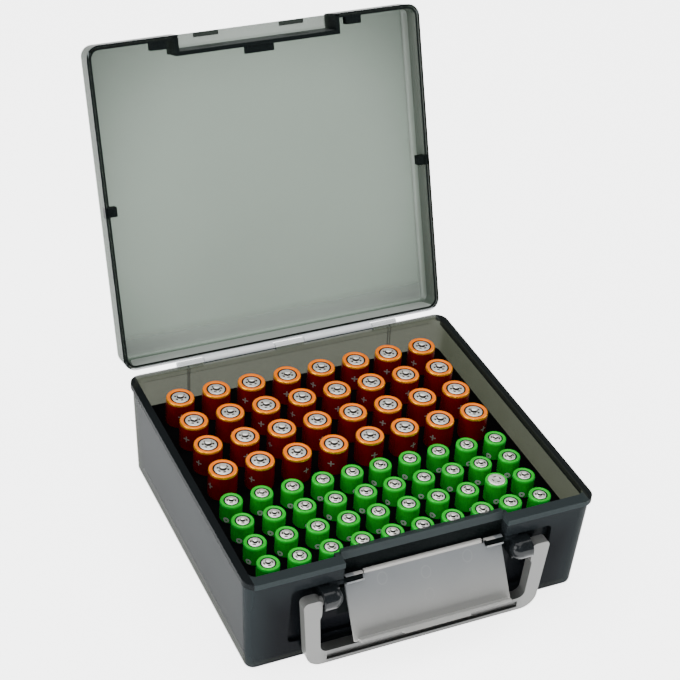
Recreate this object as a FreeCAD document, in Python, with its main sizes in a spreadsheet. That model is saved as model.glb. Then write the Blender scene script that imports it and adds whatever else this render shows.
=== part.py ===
import FreeCAD, Part
import os
import math
import Sketcher

os.makedirs("parts", exist_ok=True)
doc = FreeCAD.newDocument("BatteryCase")

# ---------------------------------------------------------------- driving sizes, mm and degrees
sizes = doc.addObject("Spreadsheet::Sheet", "Sizes")
dims = {
    # base case: halves are measured from the middle plane
    "rimHalfWidth": 89.5,
    "rimHalfDepth": 82.5,
    "caseHeight": 56.0,
    "lipHeight": 3.0,
    "lipProud": 0.7,
    "wallDraft": 3.0,
    "cornerRadius": 6.5,
    "wall": 2.4,
    "rimInset": 3.9,
    "floorThick": 2.2,
    "footFillet": 2.5,
    # thickened front with the handle recess and the latch bay
    "padHalfWidth": 70.0,
    "padBack": 75.2,
    "padLow": 8.0,
    "padHigh": 50.0,
    "recessHalfWidth": 67.0,
    "recessFace": 77.6,
    "recessLow": 12.0,
    "recessHigh": 45.5,
    "bayHalfWidth": 41.6,
    "bayFace": 76.8,
    "bayBack": 74.4,
    "bayLow": 36.5,
    "bayRise": 1.8,
    "recessRound": 3.0,
    # latch flap
    "latchY": 80.4,
    "latchZ": 43.8,
    "latchPinRadius": 1.5,
    "latchPinReach": 9.6,
    "latchFit": 0.07,
    "clipRadius": 2.4,
    "clipLength": 8.6,
    "flapHalfWidth": 40.3,
    "flapUpper": 2.6,
    "flapReach": 29.5,
    "flapThick": 1.5,
    "flapOffset": 0.9,
    "flapLip": 4.4,
    "flapLipThick": 1.4,
    "flapTabHalf": 17.0,
    "flapTabReach": 1.2,
    "flapTilt": 32.5,
    "flapBeadRadius": 1.0,
    # carrying handle
    "handleY": 84.5,
    "handleZ": 38.8,
    "bossRadius": 5.3,
    "bossInner": 43.2,
    "bossOuter": 53.4,
    "handlePinRadius": 2.2,
    "handleFit": 0.06,
    "handlePinReach": 6.5,
    "armOuterTop": 63.4,
    "armOuterLow": 59.8,
    "armInnerTop": 54.0,
    "armInnerLow": 54.8,
    "armTop": 2.6,
    "armShoulder": 9.0,
    "handleReach": 37.9,
    "gripHeight": 7.6,
    "handleThick": 5.5,
    "handleRound": 8.4,
    "gripInnerRound": 4.0,
    "channelHalf": 50.0,
    "channelHeight": 3.6,
    "channelDepth": 1.4,
    # hinge line
    "hingeY": 84.2,
    "hingeZ": 55.4,
    "hingePinRadius": 0.8,
    "hingeFit": 0.05,
    "barrelRadius": 1.7,
    "barrelEnd": 62.0,
    "barrelOuter": 48.0,
    "barrelMiddle": 8.0,
    "barrelGap": 0.5,
    # lid
    "lidGap": 0.3,
    "lidHeight": 15.7,
    "lidDraft": 3.5,
    "lidWall": 2.3,
    "lidTop": 2.0,
    "lidEdge": 3.0,
    "lidAngle": 110.1,
    "grooveInset": 0.8,
    "grooveWidth": 0.7,
    "grooveDepth": 0.8,
    "notchHalfWidth": 42.3,
    "notchBack": 74.1,
    "notchWall": 2.0,
    "ledgeFront": 80.8,
    "ledgeDrop": 0.4,
    "ledgeThick": 1.1,
    "catchInner": 16.7,
    "catchOuter": 29.7,
    "catchBack": 78.6,
    "catchDepth": 1.2,
    "hookHalf": 7.8,
    "hookReach": 3.6,
    "hookHeight": 2.4,
    "tabInner": 48.3,
    "tabOuter": 56.6,
    "tabReach": 4.0,
    "tabHeight": 5.0,
    "sideTabHalf": 2.4,
    # foam insert and cells
    "foamTop": 38.0,
    "foamGap": 0.3,
    "foamFront": 74.0,
    "aaRadius": 7.1,
    "aaHeight": 50.5,
    "aaPitchX": 19.45,
    "aaPitchY": 20.1,
    "aaCentreY": 32.8,
    "aaFloor": 2.7,
    "aaaRadius": 5.2,
    "aaaHeight": 44.5,
    "aaaPitchX": 15.72,
    "aaaPitchY": 15.5,
    "aaaCentreY": -38.8,
    "aaaFloor": 4.2,
    "cellFit": 0.15,
    "nubRadius": 2.7,
    "nubHeight": 1.4,
}
for row, (name, value) in enumerate(dims.items(), start=1):
    sizes.set("A%d" % row, name)
    sizes.set("B%d" % row, str(value))
    sizes.setAlias("B%d" % row, name)
doc.recompute()


def value(expression):
    """Number that an expression on the sheet's names has now."""
    return sizes.evalExpression(expression)


def bound(expression):
    """Expression text with every sheet name written as Sizes.name."""
    out = expression
    for name in sorted(dims, key=len, reverse=True):
        out = out.replace(name, "@%d@" % list(dims).index(name))
    for index, name in enumerate(dims):
        out = out.replace("@%d@" % index, "Sizes." + name)
    return out


def bind(obj, prop, expression):
    obj.setExpression(prop, bound(expression))


def newBody(label):
    body = doc.addObject("PartDesign::Body", label)
    body.Label = label
    return body


def plane(body, role):
    for item in body.Origin.OriginFeatures:
        if item.Role == role:
            return item
    raise ValueError(role)


def attach(obj, body, role, offsets):
    obj.AttachmentSupport = [(plane(body, role), "")]
    obj.MapMode = "FlatFace"
    for axis, expression in offsets.items():
        bind(obj, "AttachmentOffset.Base." + axis, expression)


def newSketch(body, name, role="XY_Plane", **offsets):
    sketch = body.newObject("Sketcher::SketchObject", name)
    attach(sketch, body, role, offsets)
    return sketch


def roundRect(sketch, halfWidth, front, back, radius):
    """Rounded rectangle symmetric in X, from -front to back in Y."""
    w = 50.0
    h = 40.0
    r = 5.0
    corners = [(w, -h), (w, h), (-w, h), (-w, -h)]
    first = sketch.GeometryCount
    vec = FreeCAD.Vector
    lines = [
        ((-w + r, -h), (w - r, -h)),
        ((w, -h + r), (w, h - r)),
        ((w - r, h), (-w + r, h)),
        ((-w, h - r), (-w, -h + r)),
    ]
    for start, end in lines:
        sketch.addGeometry(Part.LineSegment(vec(*start, 0), vec(*end, 0)), False)
    for index, (cx, cy) in enumerate(corners):
        centre = vec(cx - math.copysign(r, cx), cy - math.copysign(r, cy), 0)
        begin = -math.pi / 2 + index * math.pi / 2
        circle = Part.Circle(centre, vec(0, 0, 1), r)
        sketch.addGeometry(Part.ArcOfCircle(circle, begin, begin + math.pi / 2), False)
    add = sketch.addConstraint
    for index in range(4):
        line = first + index
        arc = first + 4 + index
        after = first + (index + 1) % 4
        add(Sketcher.Constraint("Tangent", line, 2, arc, 1))
        add(Sketcher.Constraint("Tangent", arc, 2, after, 1))
    for index in (0, 2):
        add(Sketcher.Constraint("Horizontal", first + index))
    for index in (1, 3):
        add(Sketcher.Constraint("Vertical", first + index))
    for index in (1, 2, 3):
        add(Sketcher.Constraint("Equal", first + 4, first + 4 + index))
    radiusAt = add(Sketcher.Constraint("Radius", first + 4, r))
    rightAt = add(Sketcher.Constraint("DistanceX", -1, 1, first + 1, 1, w))
    leftAt = add(Sketcher.Constraint("DistanceX", first + 3, 1, -1, 1, w))
    frontAt = add(Sketcher.Constraint("DistanceY", first, 1, -1, 1, h))
    backAt = add(Sketcher.Constraint("DistanceY", -1, 1, first + 2, 1, h))
    settings = [(rightAt, halfWidth), (leftAt, halfWidth), (frontAt, front), (backAt, back), (radiusAt, radius)]
    for at, expression in settings:
        sketch.setDatum(at, value(expression))
        bind(sketch, "Constraints[%d]" % at, expression)


def pad(body, sketch, name, length, taper=None, reverse=False, cut=False):
    kind = "PartDesign::Pocket" if cut else "PartDesign::Pad"
    feature = body.newObject(kind, name)
    feature.Profile = sketch
    bind(feature, "Length", length)
    if taper:
        bind(feature, "TaperAngle", taper)
    feature.Reversed = reverse
    doc.recompute()
    return feature


def block(body, name, x0, x1, y0, y1, z0, z1, cut=False):
    """Box between six positions, added to the body or cut from it."""
    kind = "PartDesign::SubtractiveBox" if cut else "PartDesign::AdditiveBox"
    box = body.newObject(kind, name)
    attach(box, body, "XY_Plane", {"x": x0, "y": y0, "z": z0})
    bind(box, "Length", "(%s) - (%s)" % (x1, x0))
    bind(box, "Width", "(%s) - (%s)" % (y1, y0))
    bind(box, "Height", "(%s) - (%s)" % (z1, z0))
    doc.recompute()
    return box


def rod(body, name, x0, x1, y, z, radius, cut=False):
    """Cylinder along X between two positions."""
    kind = "PartDesign::SubtractiveCylinder" if cut else "PartDesign::AdditiveCylinder"
    cylinder = body.newObject(kind, name)
    attach(cylinder, body, "YZ_Plane", {"x": y, "y": z, "z": x0})
    bind(cylinder, "Radius", radius)
    bind(cylinder, "Height", "(%s) - (%s)" % (x1, x0))
    doc.recompute()
    return cylinder


def ball(body, name, x, y, z, radius):
    sphere = body.newObject("PartDesign::AdditiveSphere", name)
    attach(sphere, body, "XY_Plane", {"x": x, "y": y, "z": z})
    bind(sphere, "Radius", radius)
    doc.recompute()
    return sphere


def edgesWhere(feature, test):
    shape = feature.Shape
    return ["Edge%d" % (i + 1) for i, edge in enumerate(shape.Edges) if test(edge)]


def fillet(body, base, name, radius, test):
    feature = body.newObject("PartDesign::Fillet", name)
    feature.Base = (base, edgesWhere(base, test))
    bind(feature, "Radius", radius)
    doc.recompute()
    return feature


def level(edge, z, tolerance=0.01):
    box = edge.BoundBox
    return abs(box.ZMin - z) < tolerance and abs(box.ZMax - z) < tolerance


# ---------------------------------------------------------------- base shell
base = newBody("base_shell")
inset = "lipProud + (caseHeight - lipHeight) * tan(wallDraft)"
outline = newSketch(base, "WallOutline")
roundRect(outline, "rimHalfWidth - (%s)" % inset, "rimHalfDepth - (%s)" % inset,
          "rimHalfDepth - (%s)" % inset, "cornerRadius - 2")
wallPad = pad(base, outline, "Wall", "caseHeight - lipHeight", "wallDraft")
fillet(base, wallPad, "Foot", "footFillet", lambda e: level(e, 0))
lipSketch = newSketch(base, "LipOutline", z="caseHeight - lipHeight")
roundRect(lipSketch, "rimHalfWidth", "rimHalfDepth", "rimHalfDepth", "cornerRadius")
pad(base, lipSketch, "Lip", "lipHeight")
# cavity: straight rim throat, then the drafted inside
cavity = newSketch(base, "CavityOutline", z="floorThick")
deep = "wall + lipProud + (caseHeight - lipHeight - floorThick) * tan(wallDraft)"
roundRect(cavity, "rimHalfWidth - (%s)" % deep, "rimHalfDepth - (%s)" % deep,
          "rimHalfDepth - (%s)" % deep, "cornerRadius - 3")
pad(base, cavity, "Cavity", "caseHeight - lipHeight - floorThick", "wallDraft", reverse=True, cut=True)
throat = newSketch(base, "ThroatOutline", z="caseHeight")
roundRect(throat, "rimHalfWidth - rimInset", "rimHalfDepth - 5.6", "rimHalfDepth - 3.4", "cornerRadius - 3")
pad(base, throat, "Throat", "lipHeight + 1", cut=True)
# front: thickening, handle recess, latch bay
block(base, "FrontPad", "-padHalfWidth", "padHalfWidth", "0 - rimHalfDepth + 4", "-padBack", "padLow", "padHigh")
block(base, "BayWall", "0 - bayHalfWidth - 2.4", "bayHalfWidth + 2.4", "0 - rimHalfDepth + 2", "-bayBack",
      "bayLow - 3", "caseHeight")
block(base, "BayTongue", "0 - bayHalfWidth + 0.2", "bayHalfWidth - 0.2", "-bayFace", "-bayBack",
      "caseHeight - 2", "caseHeight + bayRise")
recess = newSketch(base, "HandleRecessOutline", "XZ_Plane", y="(recessLow + recessHigh) / 2", z="recessFace")
halfRecess = "(recessHigh - recessLow) / 2"
roundRect(recess, "recessHalfWidth", halfRecess, halfRecess, "recessRound")
pad(base, recess, "HandleRecess", "rimHalfDepth - recessFace + 5", reverse=True, cut=True)
block(base, "LatchBay", "-bayHalfWidth", "bayHalfWidth", "0 - rimHalfDepth - 5", "-bayFace",
      "bayLow", "caseHeight + 5", cut=True)
for side in (-1, 1):
    tag = "Left" if side < 0 else "Right"
    outer = "%d * bossOuter" % side
    dome = "%d * (bossInner + bossRadius)" % side
    low, high = (outer, dome) if side < 0 else (dome, outer)
    rod(base, "Boss" + tag, low, high, "-handleY", "handleZ", "bossRadius")
    ball(base, "BossDome" + tag, dome, "-handleY", "handleZ", "bossRadius")
    root = "%d * (bossInner + bossRadius * 0.3)" % side
    low, high = (outer, root) if side < 0 else (root, outer)
    block(base, "BossRoot" + tag, low, high, "-handleY", "0 - bayFace - 0.2", "handleZ - bossRadius",
          "handleZ + bossRadius")
    far = "%d * (bossOuter - handlePinReach - 0.6)" % side
    mouth = "%d * (bossOuter + 1)" % side
    low, high = (mouth, far) if side < 0 else (far, mouth)
    rod(base, "BossBore" + tag, low, high, "-handleY", "handleZ", "handlePinRadius + handleFit", cut=True)
    wallSide = "%d * (bossInner + bossRadius)" % side
    tip = "%d * (bayHalfWidth - latchPinReach)" % side
    low, high = (wallSide, tip) if side < 0 else (tip, wallSide)
    rod(base, "LatchPin" + tag, low, high, "-latchY", "latchZ", "latchPinRadius")
# hinge knuckles on the back wall
knuckles = {
    "Left": ("-barrelEnd", "-barrelOuter"),
    "Middle": ("-barrelMiddle", "barrelMiddle"),
    "Right": ("barrelOuter", "barrelEnd"),
}
block(base, "HingeRelief", "-barrelOuter", "barrelOuter", "rimHalfDepth - lipProud", "rimHalfDepth + 5",
      "hingeZ - barrelRadius - 1", "caseHeight + 1", cut=True)
for tag, (low, high) in knuckles.items():
    block(base, "KnuckleWeb" + tag, low, high, "rimHalfDepth - 2", "hingeY", "hingeZ - barrelRadius",
          "caseHeight")
    rod(base, "Knuckle" + tag, low, high, "hingeY", "hingeZ", "barrelRadius")
rod(base, "HingeBore", "0 - barrelEnd - 1", "barrelEnd + 1", "hingeY", "hingeZ", "hingePinRadius + hingeFit",
    cut=True)

# ---------------------------------------------------------------- hinge pin
pin = newBody("hinge_pin")
rod(pin, "Pin", "0 - barrelEnd + 0.5", "barrelEnd - 0.5", "hingeY", "hingeZ", "hingePinRadius")

# ---------------------------------------------------------------- foam insert with the cell sockets
foam = newBody("foam_insert")
foamSketch = newSketch(foam, "FoamOutline", z="floorThick")
fd = "%s + foamGap" % deep
roundRect(foamSketch, "rimHalfWidth - (%s)" % fd, "foamFront - 2", "rimHalfDepth - (%s)" % fd, "cornerRadius - 3")
foamPad = pad(foam, foamSketch, "Block", "foamTop - floorThick", "wallDraft")


def sockets(kind, columns, rows):
    """Blind round sockets on the cell grid."""
    sketch = newSketch(foam, kind + "Socket", z="foamTop")
    sketch.addGeometry(Part.Circle(FreeCAD.Vector(0, 0, 0), FreeCAD.Vector(0, 0, 1), 5.0), False)
    add = sketch.addConstraint
    items = [
        (add(Sketcher.Constraint("Radius", 0, 5.0)), "%sRadius + cellFit" % kind),
        (add(Sketcher.Constraint("DistanceX", 0, 3, -1, 1, 10.0)), "%sPitchX * %s" % (kind, (columns - 1) / 2)),
        (add(Sketcher.Constraint("DistanceY", -1, 1, 0, 3, 10.0)),
         "%sCentreY - %sPitchY * %s" % (kind, kind, (rows - 1) / 2)),
    ]
    for at, expression in items:
        sketch.setDatum(at, value(expression))
        bind(sketch, "Constraints[%d]" % at, expression)
    hole = pad(foam, sketch, kind + "Hole", "foamTop - %sFloor" % kind, cut=True)
    multi = foam.newObject("PartDesign::MultiTransform", kind + "Grid")
    multi.Originals = [hole]
    across = foam.newObject("PartDesign::LinearPattern", kind + "Across")
    across.Direction = (sketch, ["H_Axis"])
    bind(across, "Length", "%sPitchX * %d" % (kind, columns - 1))
    across.Occurrences = columns
    along = foam.newObject("PartDesign::LinearPattern", kind + "Along")
    along.Direction = (sketch, ["V_Axis"])
    bind(along, "Length", "%sPitchY * %d" % (kind, rows - 1))
    along.Occurrences = rows
    multi.Transformations = [across, along]
    foam.Tip = multi
    doc.recompute()


sockets("aa", 8, 4)
sockets("aaa", 10, 4)


# ---------------------------------------------------------------- cells, one body to a row
def cellProfile(body, name, kind, column, inverted=False):
    """Half section of a cell: can, shoulder and positive nub."""
    sketch = newSketch(body, name, "XZ_Plane", x="%sPitchX * %d" % (kind, column))
    radius = value(kind + "Radius")
    height = value(kind + "Height")
    nub = value("nubHeight")
    nubRadius = value("nubRadius") * radius / value("aaRadius")
    if inverted:
        points = [(0, 0), (nubRadius, 0), (nubRadius, nub), (radius, nub), (radius, height), (0, height)]
    else:
        points = [(0, 0), (radius, 0), (radius, height - nub), (nubRadius, height - nub), (nubRadius, height), (0, height)]
    for index, point in enumerate(points):
        after = points[(index + 1) % len(points)]
        line = Part.LineSegment(FreeCAD.Vector(*point, 0), FreeCAD.Vector(*after, 0))
        sketch.addGeometry(line, False)
    add = sketch.addConstraint
    for index in range(6):
        add(Sketcher.Constraint("Coincident", index, 2, (index + 1) % 6, 1))
        add(Sketcher.Constraint("Horizontal" if index % 2 == 0 else "Vertical", index))
    add(Sketcher.Constraint("Coincident", 0, 1, -1, 1))
    radiusText = "%sRadius" % kind
    nubText = "nubRadius * %sRadius / aaRadius" % kind
    widths = (nubText, radiusText) if inverted else (radiusText, nubText)
    step = "nubHeight" if inverted else "%sHeight - nubHeight" % kind
    items = [
        (add(Sketcher.Constraint("DistanceX", -1, 1, 0, 2, points[1][0])), widths[0]),
        (add(Sketcher.Constraint("DistanceX", -1, 1, 3, 2, points[4][0])), widths[1]),
        (add(Sketcher.Constraint("DistanceY", -1, 1, 1, 2, points[2][1])), step),
        (add(Sketcher.Constraint("DistanceY", -1, 1, 4, 2, height)), "%sHeight" % kind),
    ]
    for at, expression in items:
        bind(sketch, "Constraints[%d]" % at, expression)
    doc.recompute()
    turn = body.newObject("PartDesign::Revolution", name + "Turn")
    turn.Profile = sketch
    turn.ReferenceAxis = (sketch, ["V_Axis"])
    turn.Angle = 360.0
    doc.recompute()
    return sketch, turn


def cellRow(label, kind, columns, row, inverted=()):
    body = newBody(label)
    body.AllowCompound = True
    bind(body, "Placement.Base.x", "0 - %sPitchX * %s" % (kind, (columns - 1) / 2))
    bind(body, "Placement.Base.y", "%sCentreY + %sPitchY * %s" % (kind, kind, 1.5 - row))
    bind(body, "Placement.Base.z", "%sFloor" % kind)
    run = min(inverted) if inverted else columns
    sketch, turn = cellProfile(body, label.title().replace("_", ""), kind, 0)
    pattern = body.newObject("PartDesign::LinearPattern", label.title().replace("_", "") + "Run")
    pattern.Originals = [turn]
    pattern.Direction = (sketch, ["H_Axis"])
    bind(pattern, "Length", "%sPitchX * %d" % (kind, run - 1))
    pattern.Occurrences = run
    body.Tip = pattern
    doc.recompute()
    for column in range(run, columns):
        cellProfile(body, "Cell%d" % column, kind, column, column in inverted)
    return body


for row in range(4):
    cellRow("aa_cells_row_%d" % (row + 1), "aa", 8, row)
for row in range(4):
    cellRow("aaa_cells_row_%d" % (row + 1), "aaa", 10, row, (8,) if row == 2 else ())

# ---------------------------------------------------------------- lid, drawn closed about the hinge line
lid = newBody("lid_shell")
rim = "caseHeight + lidGap - hingeZ"
top = "caseHeight + lidGap + lidHeight - hingeZ"
lidSketch = newSketch(lid, "LidOutline", z=rim)
roundRect(lidSketch, "rimHalfWidth", "rimHalfDepth + hingeY", "rimHalfDepth - hingeY", "cornerRadius")
lidPad = pad(lid, lidSketch, "LidBlock", "lidHeight", "-lidDraft")
topZ = value(top)
fillet(lid, lidPad, "LidEdge", "lidEdge", lambda e: level(e, topZ))
lidCavity = newSketch(lid, "LidCavityOutline", z=rim)
roundRect(lidCavity, "rimHalfWidth - lidWall", "rimHalfDepth + hingeY - lidWall",
          "rimHalfDepth - hingeY - lidWall", "cornerRadius - 2")
pad(lid, lidCavity, "LidCavity", "lidHeight - lidTop", "-lidDraft", reverse=True, cut=True)
groove = newSketch(lid, "RimGroove", z=rim)
roundRect(groove, "rimHalfWidth - grooveInset", "rimHalfDepth + hingeY - grooveInset",
          "rimHalfDepth - hingeY - grooveInset", "cornerRadius - 0.6")
roundRect(groove, "rimHalfWidth - grooveInset - grooveWidth", "rimHalfDepth + hingeY - grooveInset - grooveWidth",
          "rimHalfDepth - hingeY - grooveInset - grooveWidth", "cornerRadius - 1.4")
pad(lid, groove, "Groove", "grooveDepth", reverse=True, cut=True)
block(lid, "NotchWalls", "0 - notchHalfWidth - notchWall", "notchHalfWidth + notchWall",
      "0 - rimHalfDepth - hingeY + 1.4", "0 - notchBack - hingeY + notchWall", rim, "%s - 1" % top)
block(lid, "Notch", "-notchHalfWidth", "notchHalfWidth", "0 - rimHalfDepth - hingeY - 2", "0 - notchBack - hingeY",
      "%s - 1" % rim, "%s - ledgeDrop - ledgeThick" % top, cut=True)
block(lid, "LedgeTop", "-notchHalfWidth", "notchHalfWidth", "0 - rimHalfDepth - hingeY - 2",
      "0 - notchBack - hingeY - 1", "%s - ledgeDrop" % top, "%s + 1" % top, cut=True)
block(lid, "LedgeFace", "-notchHalfWidth", "notchHalfWidth", "0 - rimHalfDepth - hingeY - 2",
      "0 - ledgeFront - hingeY", "%s - 4" % top, "%s + 1" % top, cut=True)
for side in (-1, 1):
    tag = "Left" if side < 0 else "Right"

    def span(near, far):
        """Two positions on this side, in rising order."""
        ends = ["%d * (%s)" % (side, near), "%d * (%s)" % (side, far)]
        return ends if side > 0 else ends[::-1]

    low, high = span("catchInner", "catchOuter")
    block(lid, "Catch" + tag, low, high, "0 - ledgeFront - hingeY", "0 - catchBack - hingeY",
          "%s - ledgeDrop - ledgeThick - catchDepth" % top, "%s - ledgeDrop - ledgeThick + 0.2" % top)
    low, high = span("tabInner", "tabOuter")
    block(lid, "FrontTab" + tag, low, high, "0 - rimHalfDepth - hingeY + lidWall - 0.4",
          "0 - rimHalfDepth - hingeY + lidWall + tabReach", "%s + 0.6" % rim, "%s + tabHeight" % rim)
    low, high = span("rimHalfWidth - lidWall - tabReach", "rimHalfWidth - lidWall + 0.4")
    block(lid, "SideTab" + tag, low, high, "0 - hingeY - sideTabHalf", "0 - hingeY + sideTabHalf",
          "%s + 0.6" % rim, "%s + tabHeight" % rim)
    low, high = span("barrelMiddle + barrelGap", "barrelOuter - barrelGap")
    block(lid, "LidWeb" + tag, low, high, "rimHalfDepth - hingeY - 1", "0", rim, "barrelRadius + 0.6")
    rod(lid, "LidKnuckle" + tag, low, high, "0", "0", "barrelRadius")
block(lid, "Hook", "-hookHalf", "hookHalf", "0 - notchBack - hingeY + notchWall - 0.3",
      "0 - notchBack - hingeY + notchWall + hookReach", "%s + 0.6" % rim, "%s + hookHeight" % rim)
rod(lid, "LidBore", "-barrelOuter", "barrelOuter", "0", "0", "hingePinRadius + hingeFit", cut=True)
bind(lid, "Placement.Base.y", "hingeY")
bind(lid, "Placement.Base.z", "hingeZ")
lid.Placement.Rotation = FreeCAD.Rotation(FreeCAD.Vector(1, 0, 0), -value("lidAngle"))
bind(lid, "Placement.Rotation.Angle", "0 - lidAngle")

# ---------------------------------------------------------------- latch flap, drawn hanging from its pins
flap = newBody("latch_flap")
innerFace = "flapOffset"
outerFace = "flapOffset + flapThick"
block(flap, "Plate", "-flapHalfWidth", "flapHalfWidth", innerFace, outerFace, "-flapReach", "0")
block(flap, "UpperPlate", "0 - flapHalfWidth + clipLength + 1.4", "flapHalfWidth - clipLength - 1.4",
      innerFace, outerFace, "-0.5", "flapUpper - flapBeadRadius")
rod(flap, "UpperBead", "0 - flapHalfWidth + clipLength + 1.4", "flapHalfWidth - clipLength - 1.4",
    "flapOffset + flapThick - flapBeadRadius", "flapUpper - flapBeadRadius", "flapBeadRadius")
block(flap, "HookLip", "0 - flapHalfWidth + 1.5", "flapHalfWidth - 1.5", "flapOffset - flapLip", outerFace,
      "-flapReach", "flapLipThick - flapReach")
block(flap, "FingerTab", "-flapTabHalf", "flapTabHalf", "flapOffset - flapLip", outerFace,
      "0 - flapReach - flapTabReach", "0.4 - flapReach")
for side in (-1, 1):
    tag = "Left" if side < 0 else "Right"
    ends = ["%d * flapHalfWidth" % side, "%d * (flapHalfWidth - clipLength)" % side]
    low, high = ends if side < 0 else ends[::-1]
    rod(flap, "Clip" + tag, low, high, "0", "0", "clipRadius")
    rod(flap, "ClipBore" + tag, "(%s) - 0.2" % low, "(%s) + 0.2" % high, "0", "0",
        "latchPinRadius + latchFit", cut=True)
    block(flap, "ClipMouth" + tag, "(%s) - 0.2" % low, "(%s) + 0.2" % high, "-5", "0 - latchPinRadius * 0.5",
          "0 - latchPinRadius * 0.85", "latchPinRadius * 0.85", cut=True)
bind(flap, "Placement.Base.y", "-latchY")
bind(flap, "Placement.Base.z", "latchZ")
flap.Placement.Rotation = FreeCAD.Rotation(FreeCAD.Vector(1, 0, 0), -value("flapTilt"))
bind(flap, "Placement.Rotation.Angle", "0 - flapTilt")

# ---------------------------------------------------------------- carrying handle, drawn hanging from its pivots
handle = newBody("handle")
outlineSketch = newSketch(handle, "HandleOutline", "XZ_Plane", z="-handleThick / 2")


def polygon(sketch, points):
    """Closed outline through points written as expressions."""
    count = len(points)
    for index in range(count):
        start = [value(p) for p in points[index]]
        end = [value(p) for p in points[(index + 1) % count]]
        sketch.addGeometry(Part.LineSegment(FreeCAD.Vector(*start, 0), FreeCAD.Vector(*end, 0)), False)
    for index in range(count):
        sketch.addConstraint(Sketcher.Constraint("Coincident", index, 2, (index + 1) % count, 1))
    for index, (x, z) in enumerate(points):
        for kind, text in (("DistanceX", x), ("DistanceY", z)):
            number = value(text)
            if abs(number) < 1e-9:
                raise ValueError("corner on an axis")
            if number > 0:
                at = sketch.addConstraint(Sketcher.Constraint(kind, -1, 1, index, 1, number))
                bind(sketch, "Constraints[%d]" % at, text)
            else:
                at = sketch.addConstraint(Sketcher.Constraint(kind, index, 1, -1, 1, -number))
                bind(sketch, "Constraints[%d]" % at, "0 - (%s)" % text)


right = [
    ("armInnerLow - 1.5", "gripHeight - handleReach"),
    ("armInnerLow", "0 - armShoulder"),
    ("armInnerTop", "2 - armShoulder"),
    ("armInnerTop", "armTop"),
    ("armOuterTop", "armTop"),
    ("armOuterLow", "-handleReach"),
]
left = [("0 - (%s)" % x, z) for x, z in reversed(right)]
polygon(outlineSketch, right + left)
doc.recompute()
handlePad = pad(handle, outlineSketch, "HandleBlock", "handleThick")


def uprightNear(edge, x, z):
    """Edge across the handle's thickness at one outline corner."""
    box = edge.BoundBox
    thick = box.YMax - box.YMin
    return thick > 1 and abs(box.XMax - box.XMin) < 0.1 and abs(abs(box.Center.x) - x) < 0.6 and abs(box.Center.z - z) < 0.6


lowX = value("armOuterLow")
lowZ = -value("handleReach")
bend = fillet(handle, handlePad, "OuterBend", "handleRound", lambda e: uprightNear(e, lowX, lowZ))
inX = value("armInnerLow - 1.5")
inZ = value("gripHeight - handleReach")
bend = fillet(handle, bend, "InnerBend", "gripInnerRound", lambda e: uprightNear(e, inX, inZ))
topX = value("armOuterTop")
topX2 = value("armInnerTop")
topEdge = value("armTop")
bend = fillet(handle, bend, "ArmTops", "handleThick * 0.45",
              lambda e: uprightNear(e, topX, topEdge) or uprightNear(e, topX2, topEdge))
block(handle, "GripChannel", "-channelHalf", "channelHalf", "0 - handleThick / 2 - 1",
      "channelDepth - handleThick / 2", "gripHeight / 2 - channelHeight / 2 - handleReach",
      "gripHeight / 2 + channelHeight / 2 - handleReach", cut=True)
for side in (-1, 1):
    tag = "Left" if side < 0 else "Right"
    ends = ["%d * (armInnerTop + 1)" % side, "%d * (bossOuter - handlePinReach)" % side]
    low, high = ends if side < 0 else ends[::-1]
    rod(handle, "PivotStub" + tag, low, high, "0", "0", "handlePinRadius")
bind(handle, "Placement.Base.y", "-handleY")
bind(handle, "Placement.Base.z", "handleZ")

# ---------------------------------------------------------------- checks and export
doc.recompute()
for obj in doc.Objects:
    if "Invalid" in obj.State or "Error" in obj.State:
        raise RuntimeError("%s is %s" % (obj.Label, obj.State))
total = 0
for obj in doc.Objects:
    if obj.TypeId != "PartDesign::Body":
        continue
    shape = obj.Shape
    if shape.isNull() or not shape.isValid():
        raise RuntimeError(obj.Label + " has no valid shape")
    shape.exportStep("parts/%s.step" % obj.Label)
    total += 1
    bb = shape.BoundBox
    print("%s solids %d volume %.0f box %.1f %.1f %.1f to %.1f %.1f %.1f" % (
        obj.Label, len(shape.Solids), shape.Volume, bb.XMin, bb.YMin, bb.ZMin, bb.XMax, bb.YMax, bb.ZMax))
print("bodies", total)
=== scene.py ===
import math
import bpy
import numpy as np
from mathutils import Matrix, Vector


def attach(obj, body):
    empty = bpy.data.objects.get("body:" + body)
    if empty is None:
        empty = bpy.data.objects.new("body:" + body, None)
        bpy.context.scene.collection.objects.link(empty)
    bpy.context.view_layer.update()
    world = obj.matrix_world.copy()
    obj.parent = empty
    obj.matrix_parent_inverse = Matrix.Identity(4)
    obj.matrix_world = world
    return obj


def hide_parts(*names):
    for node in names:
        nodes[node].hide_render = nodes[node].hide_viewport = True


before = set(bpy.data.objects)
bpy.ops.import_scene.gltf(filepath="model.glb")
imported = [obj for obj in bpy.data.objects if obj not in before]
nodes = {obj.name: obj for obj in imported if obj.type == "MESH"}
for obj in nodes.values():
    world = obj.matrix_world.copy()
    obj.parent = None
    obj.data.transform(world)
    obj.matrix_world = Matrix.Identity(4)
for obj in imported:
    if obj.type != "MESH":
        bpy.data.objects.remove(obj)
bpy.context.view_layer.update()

mm = 0.001
fullTurn = 2 * math.pi
dice = np.random.default_rng(7)


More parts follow.
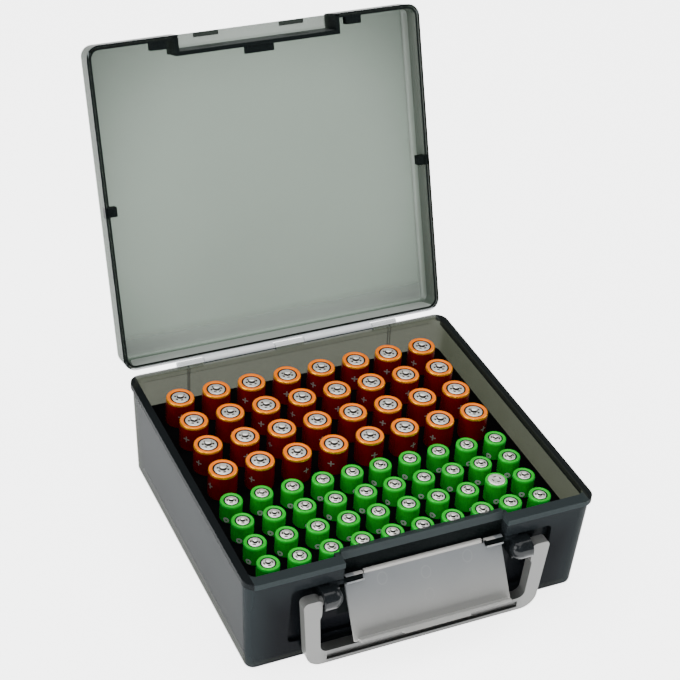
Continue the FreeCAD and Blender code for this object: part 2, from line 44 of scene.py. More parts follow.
class Wire:  # a node socket that takes part in arithmetic: every operator adds one Math node
    def __init__(self, sheet, socket):
        self.sheet = sheet
        self.socket = socket

    def math(self, kind, other=None, swap=False):
        pair = [self] if other is None else [self, other]
        if swap:
            pair = pair[::-1]
        return self.sheet.node("ShaderNodeMath", {"operation": kind}, dict(enumerate(pair)))[0]

    def __add__(self, other):
        return self.math("ADD", other)

    def __radd__(self, other):
        return self.math("ADD", other)

    def __sub__(self, other):
        return self.math("SUBTRACT", other)

    def __rsub__(self, other):
        return self.math("SUBTRACT", other, True)

    def __mul__(self, other):
        return self.math("MULTIPLY", other)

    def __rmul__(self, other):
        return self.math("MULTIPLY", other)

    def __pow__(self, other):
        return self.math("POWER", other)

    def __gt__(self, other):
        return self.math("GREATER_THAN", other)

    def __lt__(self, other):
        return self.math("LESS_THAN", other)

    def __abs__(self):
        return self.math("ABSOLUTE")

    def larger(self, other):
        return self.math("MAXIMUM", other)

    def within(self, low, high):  # 1 between two values, 0 outside
        return (self > low) * (self < high)

    def ramp(self, low, high):  # smooth step: 0 below low, 1 above high
        return self.sheet.node("ShaderNodeMapRange", {"interpolation_type": "SMOOTHSTEP"},
                               {"Value": self, "From Min": low, "From Max": high})[0]

    def fade(self, low, high):  # the same step turned round: 1 below low, 0 above high
        return 1 - self.ramp(low, high)


def distance(first, second):  # length of a step with these two sides
    return (first * first + second * second).math("SQRT")


class Finish:  # one material's node tree
    def __init__(self, name):
        self.material = bpy.data.materials.new(name)
        self.material.use_nodes = True
        self.tree = self.material.node_tree
        self.tree.nodes.clear()

    def node(self, kind, settings=None, sockets=None):  # settings first, then values or links
        made = self.tree.nodes.new(kind)
        for key, item in (settings or {}).items():
            setattr(made, key, item)
        live = [s for s in made.inputs if s.enabled]
        for key, item in (sockets or {}).items():
            socket = live[key] if isinstance(key, int) else next(s for s in live if s.name == key)
            if isinstance(item, Wire):
                self.tree.links.new(item.socket, socket)
            else:
                socket.default_value = item
        return [Wire(self, s) for s in made.outputs if s.enabled]

    def objectAt(self):
        return self.node("ShaderNodeTexCoord")[3]

    def axesMm(self, place):  # x, y and z in millimetres
        large = self.node("ShaderNodeVectorMath", {"operation": "SCALE"}, {"Vector": place, "Scale": 1 / mm})
        return self.node("ShaderNodeSeparateXYZ", None, {"Vector": large[0]})

    def noise(self, place, scale, detail=3.0, rough=0.5):
        sockets = {"Vector": place, "Scale": scale, "Detail": detail, "Roughness": rough}
        return self.node("ShaderNodeTexNoise", None, sockets)[0]

    def blend(self, mask, first, second):  # first where the mask is 0, second where it is 1
        return self.node("ShaderNodeMix", {"data_type": "RGBA"}, {0: mask, 1: first, 2: second})[0]

    def bump(self, height, strength, deep):  # deep in millimetres
        sockets = {"Height": height, "Strength": strength, "Distance": deep * mm}
        return self.node("ShaderNodeBump", None, sockets)[0]

    def attribute(self, name):
        return self.node("ShaderNodeAttribute", {"attribute_name": name})[2]

    def principled(self, **sockets):
        named = {key.replace("_", " "): item for key, item in sockets.items()}
        return self.node("ShaderNodeBsdfPrincipled", None, named)[0]

    def close(self, surface, volume=None):
        sockets = {"Surface": surface}
        if volume is not None:
            sockets["Volume"] = volume
        self.node("ShaderNodeOutputMaterial", None, sockets)
        return self.material


def rgb(r, g, b):
    return (r, g, b, 1.0)


def dress(name, material):
    mesh = nodes[name].data
    mesh.materials.clear()
    mesh.materials.append(material)
    print(name, "dressed")


# in the pieces' dictionaries, lengths and places are in millimetres, noise scales and density per metre
clearPlastic = {"bodyRough": 0.6, "grainDeep": 0.4, "headOn": 0.02, "falloff": 5.0, "white": rgb(1, 1, 1)}


def seeThrough(f, look, at, haze, colour, shine):
    # straight-through light mixed with the body colour by the haze, a gloss over both that grows with
    # the fifth power of how far the surface turns away, and absorption along the path inside
    white = clearPlastic["white"]
    headOn = clearPlastic["headOn"]
    grain = f.noise(at, look["grainScale"], 2.0)
    normal = f.bump(grain, look["grain"], clearPlastic["grainDeep"])
    body = f.principled(Base_Color=colour, Roughness=clearPlastic["bodyRough"], Normal=normal,
                        Specular_IOR_Level=0.0)
    clear = f.node("ShaderNodeBsdfTransparent", None, {"Color": white})[0]
    gloss = f.node("ShaderNodeBsdfAnisotropic", None,
                   {"Color": white, "Roughness": look["rough"], "Normal": normal})[0]
    facing = f.node("ShaderNodeLayerWeight", None, {"Blend": 0.5})[1]
    edge = (headOn + facing ** clearPlastic["falloff"] * (1 - headOn)) * shine
    through = f.node("ShaderNodeMixShader", None, {0: haze, 1: clear, 2: body})[0]
    skin = f.node("ShaderNodeMixShader", None, {0: edge, 1: through, 2: gloss})[0]
    inside = f.node("ShaderNodeVolumeAbsorption", None,
                    {"Color": look["absorb"], "Density": look["density"]})[0]
    return f.close(skin, inside)


smokeShell = {
    "body": rgb(0.022, 0.026, 0.027), "foot": rgb(0.010, 0.012, 0.013), "footShadeTop": 45.0,
    "frontShade": rgb(0.0028, 0.0034, 0.0044), "frontEdgeLight": rgb(0.0130, 0.0170, 0.0185),
    "lipBody": rgb(0.024, 0.031, 0.032), "sideLipShade": rgb(0.006, 0.0075, 0.008),
    "bayShade": rgb(0.0010, 0.0022, 0.0020), "barrel": rgb(0.86, 0.88, 0.90),
    "cloud": rgb(0.05, 0.055, 0.06), "cloudShare": 0.12, "cloudScale": 30.0,
    "absorb": rgb(0.54, 0.565, 0.44), "density": 620.0, "rough": 0.13, "grain": 0.004, "grainScale": 420.0,
    "haze": 0.70, "frontHaze": 0.93, "ribHaze": 0.15, "cloudHaze": 0.04, "edgeHaze": 0.95, "barrelHaze": 0.8,
    "shine": 0.11, "bossShine": 1.0, "bayShine": 0.03,
    "frontFace": -76.0, "frontSides": (70.0, 88.5), "frontRise": (30.0, 53.0), "riseShare": 0.7,
    "lipLow": 52.8, "lipSide": 85.5, "bayHalf": 41.6, "bayLow": 20.0,
    "bossFace": -82.9, "bossSpan": (30.0, 48.0), "ribAt": 57.0, "ribHalf": 0.4, "ribBack": 70.0,
    "hingeY": 84.2, "hingeZ": 55.4, "barrelReach": 2.2,
}


def shellFinish(look):
    # haze and body colour step from the see-through walls to the backed front at one depth, the front is
    # painted dark as shade and painted lighter towards its sides and top as light, the walls are painted
    # darker towards the bottom as shade, the lip is a little lighter and is painted dark along the sides as
    # shade, the latch bay is painted near black as shade with its gloss turned down, two moulded lines run up
    # the inside of the back wall, and the hinge barrels are pale wherever the distance from the hinge line is
    # under one radius
    f = Finish("smokeShell")
    at = f.objectAt()
    x, y, z = f.axesMm(at)
    side = abs(x)
    cloud = f.noise(at, look["cloudScale"], 2.0)
    front = y < look["frontFace"]
    lip = z > look["lipLow"]
    sideLip = lip * (side > look["lipSide"])
    bay = front * (side < look["bayHalf"]) * z.within(look["bayLow"], look["lipLow"])
    boss = (y < look["bossFace"]) * z.within(*look["bossSpan"]) * (side > look["bayHalf"])
    rib = (abs(side - look["ribAt"]) < look["ribHalf"]) * (y > look["ribBack"])
    barrel = distance(y - look["hingeY"], z - look["hingeZ"]) < look["barrelReach"]
    # painted light and shade: this mask lightens the painted-dark front towards its sides and top
    outline = side.ramp(*look["frontSides"]).larger(z.ramp(*look["frontRise"]) * look["riseShare"])
    # painted shade: the walls are painted darker towards the bottom
    colour = f.blend(z.ramp(0.0, look["footShadeTop"]), look["foot"], look["body"])
    colour = f.blend(front, colour, f.blend(outline, look["frontShade"], look["frontEdgeLight"]))
    colour = f.blend(lip, colour, look["lipBody"])
    # painted shade: the lip along the sides is painted near black
    colour = f.blend(sideLip, colour, look["sideLipShade"])
    # painted shade: the latch bay recess is painted near black, and its gloss is turned down below
    colour = f.blend(bay, colour, look["bayShade"])
    colour = f.blend(cloud * look["cloudShare"], colour, look["cloud"])
    colour = f.blend(barrel, colour, look["barrel"])
    haze = look["haze"] + front * (look["frontHaze"] - look["haze"])
    haze = haze + rib * look["ribHaze"] + cloud * look["cloudHaze"]
    haze = haze.larger(sideLip * look["edgeHaze"]) * (1 - barrel) + barrel * look["barrelHaze"]
    shine = look["shine"] + boss * (look["bossShine"] - look["shine"])
    shine = shine - bay * (look["shine"] - look["bayShine"])
    return seeThrough(f, look, at, haze, colour, shine)


dress("base_shell", shellFinish(smokeShell))

clearLid = {
    "panel": rgb(0.135, 0.162, 0.138), "corner": rgb(0.075, 0.090, 0.077), "cornerSpan": (0.5, 2.3),
    "glow": rgb(0.42, 0.44, 0.42), "glowShare": 0.6, "cornerGlow": 0.8,
    "wallLow": rgb(0.34, 0.37, 0.34), "wallRight": rgb(0.155, 0.165, 0.150),
    "notchShade": rgb(0.040, 0.044, 0.044), "pad": rgb(0.018, 0.021, 0.020), "dark": rgb(0.006, 0.008, 0.008),
    "groove": rgb(0.12, 0.135, 0.135), "barrel": rgb(0.86, 0.88, 0.90),
    "absorb": rgb(0.49, 0.560, 0.500), "density": 1150.0, "rough": 0.12, "shine": 0.15,
    "grain": 0.006, "grainScale": 300.0, "cloudScale": 14.0,
    "haze": 0.53, "cornerHaze": 0.14, "cloudHaze": 0.05, "catchHaze": 0.35, "glowHaze": 0.15,
    "wallHaze": 0.85, "notchHaze": 0.9, "darkHaze": 0.95,
    "angle": 110.1, "hingeY": 84.2, "hingeZ": 55.4, "rimRise": 0.9, "barrelReach": 3.1,
    "panelMid": 70.0, "panelHalf": 86.0, "rimStep": (0.30, 0.50),
    "wallTop": 13.6, "lowWall": 4.6, "glowRise": 7.0, "glowFade": (8.5, 18.0), "glowHalf": 85.0,
    "rightWall": (86.2, 87.6), "rightGlow": (84.5, 86.2), "rightGlowFade": (86.2, 87.4), "rightGlowFrom": 9.0,
    "grooveSide": (88.1, 88.6), "grooveBack": (2.6, 3.1), "catchShadowSpan": (5.0, 11.0),
    "blocks": {  # span from the middle plane, span out from the hinge line, height over the rim;
        # -1 starts a block at the middle plane and 999 leaves its far end open
        "notchSides": ((42.0, 44.6), (155.9, 999.0), 14.9),
        "notchWall": ((-1.0, 42.3), (155.7, 158.45), 14.4),
        "notchFoot": ((-1.0, 44.3), (155.7, 158.6), 1.6),
        "frontTabs": ((48.0, 56.9), (157.8, 164.8), 5.2),
        "hook": ((-1.0, 8.1), (152.0, 156.6), 2.7),
        "sideTabs": ((82.8, 999.0), (81.5, 86.9), 5.2),
        "catches": ((16.6, 29.8), (162.6, 165.2), 14.3),
    },
}


def lidFinish(look):
    # depth is the height over the rim plane and out the distance from the hinge, both read from object
    # coordinates turned by the open angle; the rim, notch walls, tabs and catches are dark by boxes in them,
    # the notch wall is painted dark as the shade of the recess and carries a painted shadow of the catches,
    # the hinge barrels are pale, the haze grows from the middle of the panel to its corners, the corners are
    # painted darker as shade, the low wall is painted pale as light, and a painted highlight band follows the
    # rounding above the low wall, with a painted highlight line along the right corner
    f = Finish("clearLid")
    at = f.objectAt()
    x, y, z = f.axesMm(at)
    turnSin = math.sin(math.radians(look["angle"]))
    turnCos = math.cos(math.radians(look["angle"]))
    behind = y - look["hingeY"]
    above = z - look["hingeZ"]
    depth = behind * turnSin + above * turnCos - look["rimRise"]
    out = above * turnSin - behind * turnCos
    side = abs(x)

    def block(name):  # 1 inside one of the named blocks
        sideSpan, outSpan, top = look["blocks"][name]
        return side.within(*sideSpan) * out.within(*outSpan) * (depth < top)

    barrel = distance(behind, above) < look["barrelReach"]
    rim = depth.fade(*look["rimStep"])
    groove = side.within(*look["grooveSide"]).larger(out.within(*look["grooveBack"])) * rim
    # painted shade: the notch wall of the recess is painted dark
    notchShade = block("notchWall")
    catches = block("catches")
    # painted shadow: dark patches of the catches' shape are painted on the notch wall
    catchShadow = notchShade * side.within(*look["blocks"]["catches"][0]) * depth.within(*look["catchShadowSpan"])
    dark = rim
    for name in ("notchSides", "notchFoot", "frontTabs", "hook", "sideTabs"):
        dark = dark.larger(block(name))

    wide = x * (1 / look["panelHalf"])
    tall = (out - look["panelMid"]) * (1 / look["panelHalf"])
    # painted shade: the panel is painted darker towards its corners
    corner = (wide * wide + tall * tall).ramp(*look["cornerSpan"])
    cloud = f.noise(at, look["cloudScale"], 2.0)
    wallRight = x.ramp(*look["rightWall"]) * (depth < look["wallTop"])
    # painted light: the low wall by the hinge is painted pale
    wallLow = (out < look["lowWall"]) * (depth < look["wallTop"])
    # painted highlight: glow is a pale band along the rounding above the low wall, and rightGlow a bright
    # line at the right corner
    glow = out.ramp(look["lowWall"], look["glowRise"]) * out.fade(*look["glowFade"])
    glow = glow * (side < look["glowHalf"])
    rightGlow = x.ramp(*look["rightGlow"]) * x.fade(*look["rightGlowFade"]) * (depth > look["rightGlowFrom"])
    glow = glow.larger(rightGlow * look["cornerGlow"])

    colour = f.blend(corner, look["panel"], look["corner"])
    colour = f.blend(glow * look["glowShare"], colour, look["glow"])
    colour = f.blend(wallLow, colour, look["wallLow"])
    colour = f.blend(wallRight, colour, look["wallRight"])
    colour = f.blend(notchShade, colour, look["notchShade"])
    colour = f.blend(catches.larger(catchShadow), colour, look["pad"])
    colour = f.blend(dark, colour, look["dark"])
    colour = f.blend(groove, colour, look["groove"])
    colour = f.blend(barrel, colour, look["barrel"])

    haze = look["haze"] + corner * look["cornerHaze"] + (cloud - 0.5) * look["cloudHaze"]
    haze = haze + catches * look["catchHaze"] + glow * look["glowHaze"]
    haze = haze.larger(wallRight.larger(wallLow).larger(barrel) * look["wallHaze"])
    haze = haze.larger(dark * look["darkHaze"]).larger(notchShade * look["notchHaze"])
    return seeThrough(f, look, at, haze, colour, look["shine"])


dress("lid_shell", lidFinish(clearLid))

frostedFlap = {
    "upper": rgb(0.185, 0.196, 0.205), "lower": rgb(0.300, 0.298, 0.285), "edge": rgb(0.42, 0.41, 0.39),
    "mark": rgb(0.32, 0.32, 0.31), "markShare": 0.22, "cloudShare": 0.15, "cloudScale": 70.0,
    "absorb": rgb(0.62, 0.64, 0.64), "density": 500.0, "rough": 0.30, "shine": 0.6,
    "grain": 0.10, "grainScale": 900.0, "haze": 0.80, "cloudHaze": 0.06, "lipHaze": 0.12,
    "plateSpan": (18.0, 44.0), "plateHalf": 36.2, "lipTop": 19.2, "lipStep": 0.6, "beadLow": 43.6,
    "markRadius": 2.4, "markWidth": 0.25,
    "marks": ((-22.0, 40.0), (22.0, 40.0), (0.0, 38.0), (-22.0, 24.0), (22.0, 24.0), (0.0, 29.0)),
}


def flapFinish(look):
    # colour runs from cool and darker at the pins to warm and lighter at the lip, painted light where the lip
    # curls towards the light, the lip and the bead are painted pale as highlights, with faint ejector
    # rings: a ring is where the distance from its centre, in x and height, is near one radius
    f = Finish("frostedFlap")
    at = f.objectAt()
    x, y, z = f.axesMm(at)
    cloud = f.noise(at, look["cloudScale"], 2.0)
    rings = None
    for markX, markZ in look["marks"]:
        beside = abs(distance(x - markX, z - markZ) - look["markRadius"])
        ring = beside.fade(0.0, 2 * look["markWidth"])
        rings = ring if rings is None else rings.larger(ring)
    lip = z.fade(look["lipTop"] - look["lipStep"], look["lipTop"])
    bead = (z > look["beadLow"]) * (abs(x) < look["plateHalf"])
    # painted light: the flap is painted lighter towards the lip
    colour = f.blend(z.ramp(*look["plateSpan"]), look["lower"], look["upper"])
    colour = f.blend(rings * look["markShare"] + cloud * look["cloudShare"], colour, look["mark"])
    # painted highlight: the lip and the bead are painted pale
    colour = f.blend(lip.larger(bead), colour, look["edge"])
    haze = look["haze"] + cloud * look["cloudHaze"] + lip * look["lipHaze"]
    return seeThrough(f, look, at, haze, colour, look["shine"])


dress("latch_flap", flapFinish(frostedFlap))

greyHandle = {
    "dull": rgb(0.100, 0.102, 0.098), "pale": rgb(0.116, 0.118, 0.113), "shadedBar": rgb(0.034, 0.035, 0.033),
    "shadedBarTop": (6.0, 12.0), "shadedBarEnd": (46.0, 54.0), "cloudScale": 60.0, "rough": 0.27, "roughShift": 0.1,
    "grain": 0.10, "grainDeep": 0.2, "grainScale": 1500.0,
}


def handleFinish(look):
    # opaque grey with a faint mottling and a fine grain in the surface, with painted shade along the bar at
    # the bottom, where it lies in shadow
    f = Finish("greyHandle")
    at = f.objectAt()
    x, y, z = f.axesMm(at)
    cloud = f.noise(at, look["cloudScale"])
    # painted shade: the bottom bar between the arms is painted darker
    shadedBar = z.fade(*look["shadedBarTop"]) * abs(x).fade(*look["shadedBarEnd"])
    colour = f.blend(cloud, look["dull"], look["pale"])
    colour = f.blend(shadedBar, colour, look["shadedBar"])
    normal = f.bump(f.noise(at, look["grainScale"], 2.0), look["grain"], look["grainDeep"])
    rough = look["rough"] + cloud * look["roughShift"]
    return f.close(f.principled(Base_Color=colour, Roughness=rough, Normal=normal))


dress("handle", handleFinish(greyHandle))

blackFoam = {
    "pore": rgb(0.0010, 0.0010, 0.0010), "skin": rgb(0.0045, 0.0045, 0.0048), "rough": 0.95,
    "poreScale": 1100.0, "poreRough": 0.7, "grain": 0.5, "grainDeep": 0.5,
}


def foamFinish(look):
    # near-black with fine pores
    f = Finish("blackFoam")
    pores = f.noise(f.objectAt(), look["poreScale"], 3.0, look["poreRough"])
    colour = f.blend(pores, look["pore"], look["skin"])
    normal = f.bump(pores, look["grain"], look["grainDeep"])
    return f.close(f.principled(Base_Color=colour, Roughness=look["rough"], Normal=normal,
                                Specular_IOR_Level=0.0))


dress("foam_insert", foamFinish(blackFoam))

steelPin = {
    "dull": rgb(0.45, 0.45, 0.46), "bright": rgb(0.62, 0.62, 0.62), "lineScale": 400.0,
    "rough": 0.25, "roughShift": 0.15,
}


def wireFinish(look):
    # drawn wire: metal with a fine noise in its shine
    f = Finish("steelPin")
    lines = f.noise(f.objectAt(), look["lineScale"])
    colour = f.blend(lines, look["dull"], look["bright"])
    rough = look["rough"] + lines * look["roughShift"]
    return f.close(f.principled(Base_Color=colour, Metallic=1.0, Roughness=rough))


dress("hinge_pin", wireFinish(steelPin))

# collar, disc and nub are shares of the radius
aaCell = {
    "node": "aa_cells_row_%d", "slot": "aa_can", "columns": 8, "rows": 4, "inverted": (),
    "radius": 7.2, "height": 50.5, "pitchX": 19.45, "pitchY": 20.1, "centreY": 32.8, "floor": 3.3,
    "nubHeight": 1.5, "collar": 0.70, "disc": 0.585, "nub": 0.25, "lobes": 6,
    "lean": 0.35, "shift": 0.1, "faceJitter": 0.9,  # lean in degrees, face jitter in radians
    "sleeve": rgb(0.230, 0.0016, 0.0030), "sleeveLight": rgb(0.380, 0.0040, 0.0070), "sleeveMetal": 0.55,
    "shoulder": rgb(1.0, 0.20, 0.0), "bead": rgb(1.0, 0.40, 0.008), "shoulderMetal": 0.12, "beadMetal": 0.75,
    "discTint": rgb(0.95, 0.93, 0.87), "discShade": rgb(0.03, 0.026, 0.02), "discMetal": 0.6,
    "markTint": rgb(0.55, 0.50, 0.46), "markUp": 41.5, "markArm": 1.7, "markHalf": 0.38,
}
aaaCell = {
    "node": "aaa_cells_row_%d", "slot": "aaa_can", "columns": 10, "rows": 4, "inverted": ((2, 8),),
    "radius": 5.5, "height": 44.5, "pitchX": 15.72, "pitchY": 15.5, "centreY": -38.8, "floor": 4.7,
    "nubHeight": 1.2, "collar": 0.67, "disc": 0.55, "nub": 0.23, "lobes": 4,
    "lean": 0.5, "shift": 0.12, "faceJitter": 0.55,
    "sleeve": rgb(0.0, 0.36, 0.016), "sleeveLight": rgb(0.0, 0.52, 0.028), "sleeveMetal": 0.35,
    "shoulder": rgb(0.0, 0.44, 0.020), "bead": rgb(0.0, 0.60, 0.045), "shoulderMetal": 0.1, "beadMetal": 0.3,
    "discTint": rgb(0.92, 0.90, 0.84), "discShade": rgb(0.035, 0.028, 0.020), "discMetal": 0.6,
    "markTint": rgb(0.62, 0.70, 0.62), "markUp": 35.0, "markRing": (0.5, 1.55),
}
bothCells = {
    "segments": 44, "facing": 1.1, "pivot": 1 / 3,  # facing in radians, pivot as a share of the height
    # the nub's side colour is painted shade
    "gap": rgb(0.002, 0.002, 0.002), "shadedNubSide": rgb(0.030, 0.029, 0.027), "beadSpan": (0.91, 0.97),
    "lobeEdge": (0.35, 0.6), "lobeInner": (0.27, 0.31), "lobeOuter": (0.40, 0.47), "lobeShade": 0.85,
    "cloudScale": 240.0, "cloudShade": 0.2, "speckScale": 1500.0, "speckDeep": 0.03,
    "rough": 0.22, "speckRough": 0.08, "dullRough": 0.4, "specular": 0.10, "bump": 0.5, "bumpDeep": 0.25,
}
sleeve, foil, gap, steel, shadedNubSide = range(5)  # what a ring of the profile is made of


def cellOutline(kind, upright):
    # profile from the axis at the foot to the axis at the head, as radius, height and material: a foot with
    # a rolled edge, a straight can, a rounded shoulder, then a cap with a nub or a flat foot disc
    r, h = kind["radius"], kind["height"]
    c, d, n = kind["collar"] * r, kind["disc"] * r, kind["nub"] * r
    nubHeight = kind["nubHeight"]
    head = h - nubHeight if upright else h
    foot = [(0, 0.15, steel), (0.72 * r, 0.15, steel), (0.76 * r, 0.0, foil), (0.93 * r, 0.0, foil),
            (0.985 * r, 0.25, sleeve), (r, 0.8, sleeve)]
    neck = [(r, head - 1.5, sleeve), (r, head - 1.05, foil), (0.985 * r, head - 0.5, foil),
            (0.95 * r, head - 0.12, foil), (0.90 * r, head, foil), (0.84 * r, head - 0.05, foil)]
    if upright:
        crown = [(0.76 * r, head - 0.14, foil), (c + 0.12, head - 0.24, foil), (c, head - 0.4, gap),
                 (d + 0.1, head - 0.45, gap), (d, head - 0.30, steel), (0.95 * d, head - 0.24, steel),
                 (0.85 * d, head - 0.22, steel), (0.5 * d, head - 0.16, steel),
                 (n + 0.15, head - 0.10, steel), (n, head, shadedNubSide),
                 (0.96 * n, head + 0.75 * nubHeight, shadedNubSide), (0.86 * n, head + 0.95 * nubHeight, steel),
                 (0.5 * n, h, steel), (0, h, steel)]
    else:
        crown = [(0.80 * r, head - 0.15, foil), (0.775 * r, head - 0.3, gap), (0.76 * r, head - 0.15, steel),
                 (0.70 * r, head - 0.02, steel), (0.3 * r, head - 0.04, steel),
                 (0.22 * r, head - 0.14, steel), (0, head - 0.14, steel)]
    return np.array(foot + neck + crown, float)


def turned(outline, segments):
    # surface of revolution: x = r cos a, y = r sin a, z = h, with single points at the poles
    angles = np.arange(segments) / segments * fullTurn
    ring = outline[1:-1]
    rows = len(ring)
    r, h = ring[:, 0][:, None], ring[:, 1][:, None]
    grid = np.stack([r * np.cos(angles), r * np.sin(angles), h + 0 * angles], -1).reshape(-1, 3)
    points = np.vstack([grid, [[0, 0, outline[0, 1]], [0, 0, outline[-1, 1]]]])
    i, j = np.meshgrid(np.arange(rows - 1), np.arange(segments), indexing="ij")
    k = (j + 1) % segments
    corners = [i * segments + j, i * segments + k, (i + 1) * segments + k, (i + 1) * segments + j]
    quads = np.stack(corners, -1).reshape(-1, 4)
    j = np.arange(segments)
    k = (j + 1) % segments
    last = (rows - 1) * segments
    low = np.stack([0 * j + rows * segments, k, j], -1)
    high = np.stack([0 * j + rows * segments + 1, last + j, last + k], -1)
    zone = np.concatenate([np.repeat(ring[:, 2], segments), [outline[0, 2], outline[-1, 2]]])
    return points, quads, np.vstack([low, high]), zone


def plusMark(around, up):
    # two short bars crossing, a plain polarity sign: bounds on the distance along and round the can
    across = abs(around - 0.5) * (fullTurn * aaCell["radius"])
    along = abs(up - aaCell["markUp"])
    arm, half = aaCell["markArm"], aaCell["markHalf"]
    bar = (across < arm) * (along < half)
    post = (across < half) * (along < arm)
    return bar.larger(post)


def ringMark(around, up):
    # small printed ring: the distance from its centre lies between two radii
    across = (around - 0.5) * (fullTurn * aaaCell["radius"])
    return distance(across, up - aaaCell["markUp"]).within(*aaaCell["markRing"])


def cellFinish(kind, name, mark):
    # printed sleeve, foil shoulder, dark collar and steel cap are told apart by the mesh's own zone value,
    # and the cap darkens in lobes that follow a sine of the angle between two radii
    look = bothCells
    f = Finish(name)
    zone = f.attribute("zone")
    radial = f.attribute("radial")
    around = f.attribute("around")
    up = f.attribute("up")
    at = f.objectAt()
    speck = f.noise(at, look["speckScale"], 2.0)
    cloud = f.noise(at, look["cloudScale"], 3.0)

    def madeOf(value):  # 1 where the zone value is nearest to this one
        return zone.within(value - 0.5, value + 0.5)

    onFoil, onGap, onSteel, onShadedNub = (madeOf(value) for value in (foil, gap, steel, shadedNubSide))
    bead = radial.ramp(*look["beadSpan"])
    wave = (around * (fullTurn * kind["lobes"])).math("SINE") * 0.5 + 0.5
    lobes = wave.ramp(*look["lobeEdge"]) * radial.ramp(*look["lobeInner"]) * radial.fade(*look["lobeOuter"])
    colour = f.blend(cloud, kind["sleeve"], kind["sleeveLight"])
    colour = f.blend(mark(around, up), colour, kind["markTint"])
    # painted highlight: the rolled bead at the shoulder's edge is painted lighter and more golden
    colour = f.blend(onFoil, colour, f.blend(bead, kind["shoulder"], kind["bead"]))
    colour = f.blend(onGap, colour, look["gap"])
    # painted shade: the side of the nub is painted dark
    colour = f.blend(onShadedNub, colour, look["shadedNubSide"])
    cap = f.blend(lobes * look["lobeShade"] + cloud * look["cloudShade"], kind["discTint"], kind["discShade"])
    colour = f.blend(onSteel, colour, cap)
    foilMetal = kind["shoulderMetal"] + bead * (kind["beadMetal"] - kind["shoulderMetal"])
    metallic = onSteel * kind["discMetal"] + onFoil * foilMetal + madeOf(sleeve) * kind["sleeveMetal"]
    rough = look["rough"] + speck * look["speckRough"] + onGap.larger(onShadedNub) * look["dullRough"]
    normal = f.bump(lobes * onSteel + speck * look["speckDeep"], look["bump"], look["bumpDeep"])
    return f.close(f.principled(Base_Color=colour, Metallic=metallic, Roughness=rough, Normal=normal,
                                Specular_IOR_Level=look["specular"]))


def cellRow(kind, row, material):
    # one row as a single mesh: each cell is the turned profile, spun, leant and set on the grid
    pointSets, quadSets, triSets = [], [], []
    values = {"zone": [], "radial": [], "around": [], "up": []}
    base = 0
    pivot = np.array([0, 0, kind["height"] * bothCells["pivot"]])
    for column in range(kind["columns"]):
        upright = (row, column) not in kind["inverted"]
        points, quads, tris, zone = turned(cellOutline(kind, upright), bothCells["segments"])
        spin = bothCells["facing"] + dice.uniform(-1, 1) * kind["faceJitter"]
        lean = math.radians(kind["lean"]) * dice.uniform(-1, 1, 2)
        turn = Matrix.Rotation(lean[0], 3, "X") @ Matrix.Rotation(lean[1], 3, "Y")
        turn = turn @ Matrix.Rotation(spin, 3, "Z")
        drift = dice.uniform(-1, 1, 2) * kind["shift"]
        x = (column - (kind["columns"] - 1) / 2) * kind["pitchX"] + drift[0]
        y = kind["centreY"] + ((kind["rows"] - 1) / 2 - row) * kind["pitchY"] + drift[1]
        pointSets.append((points - pivot) @ np.array(turn).T + pivot + [x, y, kind["floor"]])
        quadSets.append(quads + base)
        triSets.append(tris + base)
        values["zone"].append(zone)
        values["radial"].append(np.hypot(points[:, 0], points[:, 1]) / kind["radius"])
        values["around"].append(np.arctan2(points[:, 1], points[:, 0]) / fullTurn % 1.0)
        values["up"].append(points[:, 2])
        base += len(points)
    mesh = bpy.data.meshes.new(kind["node"] % (row + 1) + "_look")
    faces = np.vstack(quadSets).tolist() + np.vstack(triSets).tolist()
    mesh.from_pydata((np.vstack(pointSets) * mm).tolist(), [], faces)
    mesh.polygons.foreach_set("use_smooth", np.ones(len(mesh.polygons), bool))
    for key, items in values.items():
        layer = mesh.attributes.new(key, "FLOAT", "POINT")
        layer.data.foreach_set("value", np.concatenate(items).astype(np.float32))
    mesh.materials.append(material)
    obj = bpy.data.objects.new(mesh.name, mesh)
    bpy.context.scene.collection.objects.link(obj)
    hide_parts(kind["node"] % (row + 1))
    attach(obj, "case")


for kind, label, mark in ((aaCell, "aaSleeve", plusMark), (aaaCell, "aaaSleeve", ringMark)):
    material = cellFinish(kind, label, mark)
    for row in range(kind["rows"]):
        cellRow(kind, row, material)
    print(label, "cells in place")

studio = {  # lengths in metres
    "reach": 4.0, "floor": rgb(0.90, 0.90, 0.90), "floorShade": rgb(0.88, 0.88, 0.885),
    "floorGlow": 4.2, "floorRough": 0.8, "cloudScale": 3.0,
    "world": rgb(0.93, 0.97, 1.0), "worldPower": 0.30,
    "lights": (  # name, place, aim, size, power
        ("overhead", (-0.15, 0.30, 1.60), (0.0, 0.1, 0.0), 2.0, 36.0),
        ("leftWall", (-1.25, -0.10, 0.60), (0.0, 0.0, 0.06), 0.8, 10.0),
        ("rightWall", (1.20, -0.20, 0.70), (0.0, 0.0, 0.06), 0.7, 6.0),
        ("spark", (-0.55, -0.95, 1.05), (0.0, -0.05, 0.04), 0.10, 2.2),
    ),
}
lens = {  # place in metres, angles in degrees, focal length in pixels
    "place": (-0.31608, -0.61188, 0.59718), "azimuth": -26.428, "elevation": 35.126, "roll": 4.272,
    "focal": 1781.95, "pixels": 680, "sensor": 36.0, "near": 0.05, "far": 20.0,
}


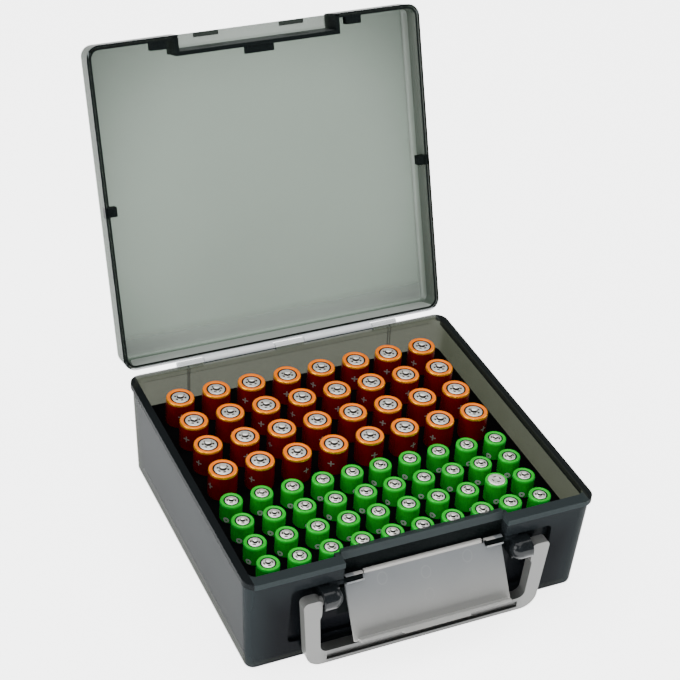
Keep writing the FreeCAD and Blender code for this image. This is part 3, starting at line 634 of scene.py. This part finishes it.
def floorFinish(look):
    # pale sheet with a very faint mottling and an even glow
    f = Finish("paleFloor")
    colour = f.blend(f.noise(f.objectAt(), look["cloudScale"]), look["floor"], look["floorShade"])
    return f.close(f.principled(Base_Color=colour, Roughness=look["floorRough"],
                                Emission_Color=look["floor"], Emission_Strength=look["floorGlow"]))


def layFloor(look):
    reach = look["reach"]
    corners = [(-reach, -reach, 0), (reach, -reach, 0), (reach, reach, 0), (-reach, reach, 0)]
    mesh = bpy.data.meshes.new("floor")
    mesh.from_pydata(corners, [], [(0, 1, 2, 3)])
    mesh.materials.append(floorFinish(look))
    floor = bpy.data.objects.new("floor", mesh)
    bpy.context.scene.collection.objects.link(floor)


def hangLight(name, place, aim, size, power):
    lamp = bpy.data.lights.new(name, "AREA")
    lamp.size = size
    lamp.energy = power
    holder = bpy.data.objects.new(name, lamp)
    holder.location = place
    holder.rotation_mode = "QUATERNION"
    holder.rotation_quaternion = (Vector(aim) - Vector(place)).to_track_quat("-Z", "Y")
    bpy.context.scene.collection.objects.link(holder)


def setCamera(look):
    # the camera looks back along a line given by azimuth and elevation, then rolls about that line
    azimuth, elevation, roll = (math.radians(look[key]) for key in ("azimuth", "elevation", "roll"))
    flat = math.cos(elevation)
    back = Vector((math.sin(azimuth) * flat, -math.cos(azimuth) * flat, math.sin(elevation)))
    right = Vector((math.cos(azimuth), math.sin(azimuth), 0))
    up = back.cross(right)
    rolledRight = right * math.cos(roll) + up * math.sin(roll)
    rolledUp = up * math.cos(roll) - right * math.sin(roll)
    pose = Matrix((rolledRight, rolledUp, back)).transposed().to_4x4()
    pose.translation = look["place"]
    view = bpy.data.cameras.new("view")
    view.sensor_width = look["sensor"]
    view.lens = look["focal"] * look["sensor"] / look["pixels"]
    view.clip_start = look["near"]
    view.clip_end = look["far"]
    camera = bpy.data.objects.new("camera", view)
    camera.matrix_world = pose
    bpy.context.scene.collection.objects.link(camera)
    bpy.context.scene.camera = camera


layFloor(studio)
world = bpy.data.worlds.new("studio")
world.use_nodes = True
sky = world.node_tree.nodes["Background"]
sky.inputs[0].default_value = studio["world"]
sky.inputs[1].default_value = studio["worldPower"]
bpy.context.scene.world = world
for light in studio["lights"]:
    hangLight(*light)
setCamera(lens)
print("studio set")
